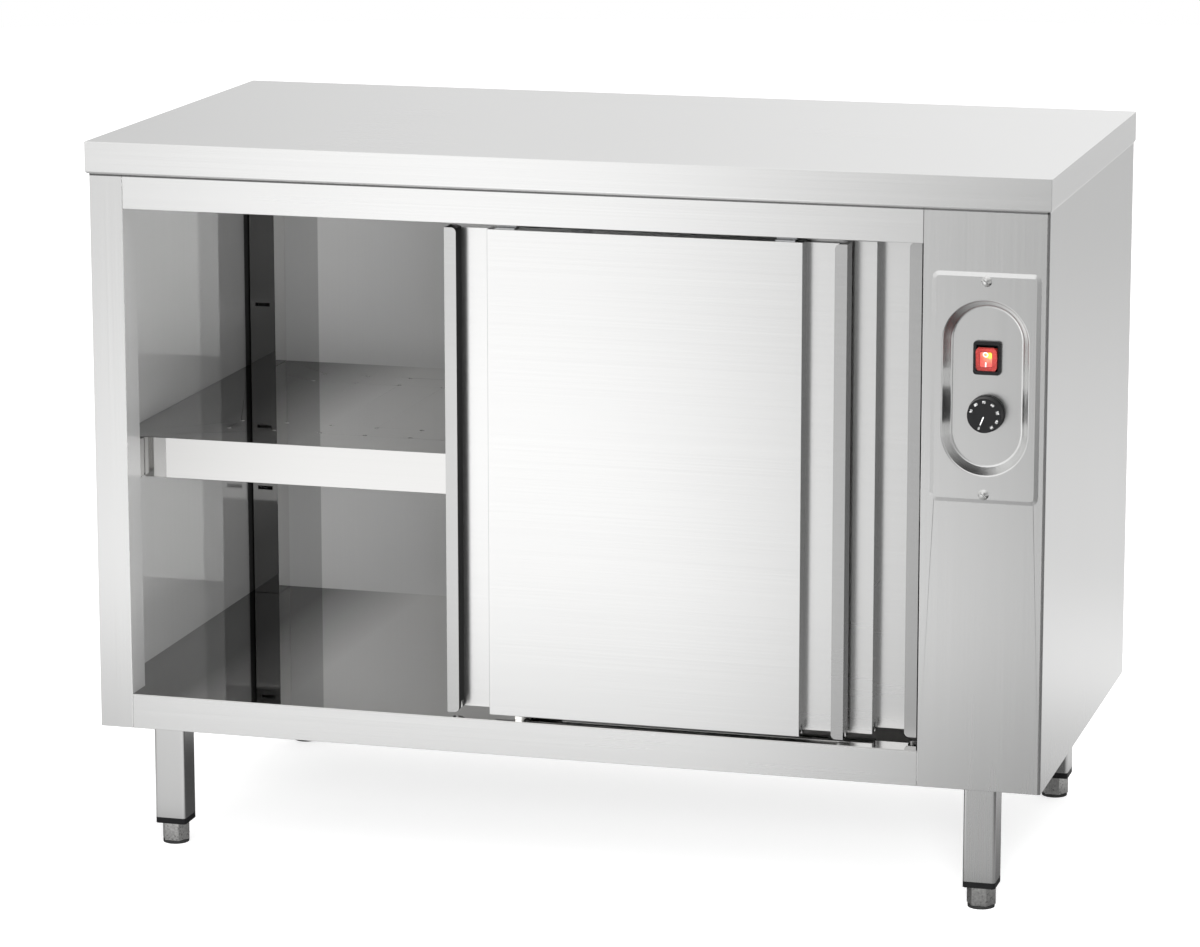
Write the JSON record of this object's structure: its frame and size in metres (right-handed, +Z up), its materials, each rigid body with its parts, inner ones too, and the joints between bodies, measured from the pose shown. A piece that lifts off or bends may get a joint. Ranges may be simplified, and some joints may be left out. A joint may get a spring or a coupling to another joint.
{
  "type": "plate warmer cabinet",
  "caption": "Free-standing heated steel cupboard with hanging sliding doors, a perforated shelf, a side column with switch and thermostat, and legs on adjustable feet.",
  "frame": {"origin": "on the floor, under the centre of the worktop", "axes": "+X to the right along the front, +Y to the back, +Z up; the doors face -Y"},
  "size_m": [1.2, 0.61, 0.9],
  "materials": {
    "brushed_steel_outer": "fine brushed stainless steel",
    "polished_steel_inner": "bright, nearly mirror-like stainless steel",
    "plain_steel_hidden": "plain mill-finish sheet steel",
    "turned_steel": "machined steel with light turning marks",
    "black_plastic": "moulded black plastic, satin",
    "white_nylon": "moulded white nylon",
    "black_rubber": "black rubber, matt",
    "red_lens": "clear red plastic with a lamp behind it",
    "heater_steel": "dark heat-tinted steel",
    "motor_paint": "grey enamel on cast metal",
    "copper_tube": "drawn copper",
    "ceramic_block": "ivory thermoset"
  },
  "bodies": {
    "cabinet": {"worktop": "brushed_steel_outer", "worktop_stiffeners": "plain_steel_hidden", "left_side_panel": "brushed_steel_outer", "right_side_panel": "brushed_steel_outer", "column_front": "brushed_steel_outer", "back_panel": "polished_steel_inner", "floor_panel": "polished_steel_inner", "header_rail": "brushed_steel_outer", "bottom_rail": "brushed_steel_outer", "left_cross_member": "plain_steel_hidden", "right_cross_member": "plain_steel_hidden", "rear_left_post": "polished_steel_inner", "rear_right_post": "polished_steel_inner", "partition_panel": "polished_steel_inner", "top_track": "plain_steel_hidden", "door_guide": "white_nylon", "shelf": "polished_steel_inner", "left_shelf_bearer": "polished_steel_inner", "right_shelf_bearer": "polished_steel_inner", "leg_front_left": "brushed_steel_outer", "leg_front_right": "brushed_steel_outer", "leg_rear_left": "brushed_steel_outer", "leg_rear_right": "brushed_steel_outer", "leg_cap_front_left": "black_plastic", "leg_cap_front_right": "black_plastic", "leg_cap_rear_left": "black_plastic", "leg_cap_rear_right": "black_plastic", "control_plate": "brushed_steel_outer", "plate_screws": "turned_steel", "switch_housing": "black_plastic", "thermostat_body": "plain_steel_hidden", "thermostat_bulb": "copper_tube", "heater_housing": "plain_steel_hidden", "heating_element": "heater_steel", "fan_motor": "motor_paint", "terminal_block": "ceramic_block", "cable_gland": "black_plastic"},
    "front_door": {"front_door_frame": "brushed_steel_outer", "front_door_panel": "brushed_steel_outer", "front_door_hangers": "plain_steel_hidden"},
    "front_door_rollers_left": {"front_door_rollers_left": "white_nylon"},
    "front_door_rollers_right": {"front_door_rollers_right": "white_nylon"},
    "rear_door": {"rear_door_frame": "brushed_steel_outer", "rear_door_panel": "brushed_steel_outer", "rear_door_hangers": "plain_steel_hidden"},
    "rear_door_rollers_left": {"rear_door_rollers_left": "white_nylon"},
    "rear_door_rollers_right": {"rear_door_rollers_right": "white_nylon"},
    "rocker": {"switch_rocker": "red_lens"},
    "knob": {"control_knob": "black_plastic", "thermostat_spindle": "turned_steel"},
    "fan": {"fan_wheel": "plain_steel_hidden"},
    "foot_front_left": {"foot_front_left": "turned_steel", "foot_pad_front_left": "black_rubber"},
    "foot_front_right": {"foot_front_right": "turned_steel", "foot_pad_front_right": "black_rubber"},
    "foot_rear_left": {"foot_rear_left": "turned_steel", "foot_pad_rear_left": "black_rubber"},
    "foot_rear_right": {"foot_rear_right": "turned_steel", "foot_pad_rear_right": "black_rubber"}
  },
  "joints": [
    {"name": "front_door_slide", "type": "slide", "parent": "cabinet", "child": "front_door", "axis": [1, 0, 0], "range_m": [-0.4035, 0.083]},
    {"name": "front_door_left_roll", "type": "hinge", "parent": "front_door", "child": "front_door_rollers_left", "pos_m": [-0.0665, -0.28, 0.835], "axis": [0, 1, 0], "range_deg": [-2166, 450]},
    {"name": "front_door_right_roll", "type": "hinge", "parent": "front_door", "child": "front_door_rollers_right", "pos_m": [0.2795, -0.28, 0.835], "axis": [0, 1, 0], "range_deg": [-2166, 450]},
    {"name": "rear_door_slide", "type": "slide", "parent": "cabinet", "child": "rear_door", "axis": [1, 0, 0], "range_m": [-0.4865, 0]},
    {"name": "rear_door_left_roll", "type": "hinge", "parent": "rear_door", "child": "rear_door_rollers_left", "pos_m": [0.0165, -0.246, 0.835], "axis": [0, 1, 0], "range_deg": [-2611, 5]},
    {"name": "rear_door_right_roll", "type": "hinge", "parent": "rear_door", "child": "rear_door_rollers_right", "pos_m": [0.3625, -0.246, 0.835], "axis": [0, 1, 0], "range_deg": [-2611, 5]},
    {"name": "switch_rock", "type": "hinge", "parent": "cabinet", "child": "rocker", "pos_m": [0.5235, -0.2875, 0.6825], "axis": [1, 0, 0], "range_deg": [-14, 0]},
    {"name": "thermostat_turn", "type": "hinge", "parent": "cabinet", "child": "knob", "pos_m": [0.5235, -0.295, 0.616], "axis": [0, 1, 0], "range_deg": [0, 275]},
    {"name": "fan_spin", "type": "hinge", "parent": "cabinet", "child": "fan", "pos_m": [0.513, 0.03, 0.33], "axis": [1, 0, 0], "continuous": true},
    {"name": "foot_front_left_height", "type": "slide", "parent": "cabinet", "child": "foot_front_left", "axis": [0, 0, 1], "range_m": [-0.025, 0]},
    {"name": "foot_front_right_height", "type": "slide", "parent": "cabinet", "child": "foot_front_right", "axis": [0, 0, 1], "range_m": [-0.025, 0]},
    {"name": "foot_rear_left_height", "type": "slide", "parent": "cabinet", "child": "foot_rear_left", "axis": [0, 0, 1], "range_m": [-0.025, 0]},
    {"name": "foot_rear_right_height", "type": "slide", "parent": "cabinet", "child": "foot_rear_right", "axis": [0, 0, 1], "range_m": [-0.025, 0]}
  ],
  "couplings": [
    {"joint": "front_door_left_roll", "follows": "front_door_slide", "rad_per_m": 93.458},
    {"joint": "front_door_right_roll", "follows": "front_door_slide", "rad_per_m": 93.458},
    {"joint": "rear_door_left_roll", "follows": "rear_door_slide", "rad_per_m": 93.458},
    {"joint": "rear_door_right_roll", "follows": "rear_door_slide", "rad_per_m": 93.458}
  ]
}
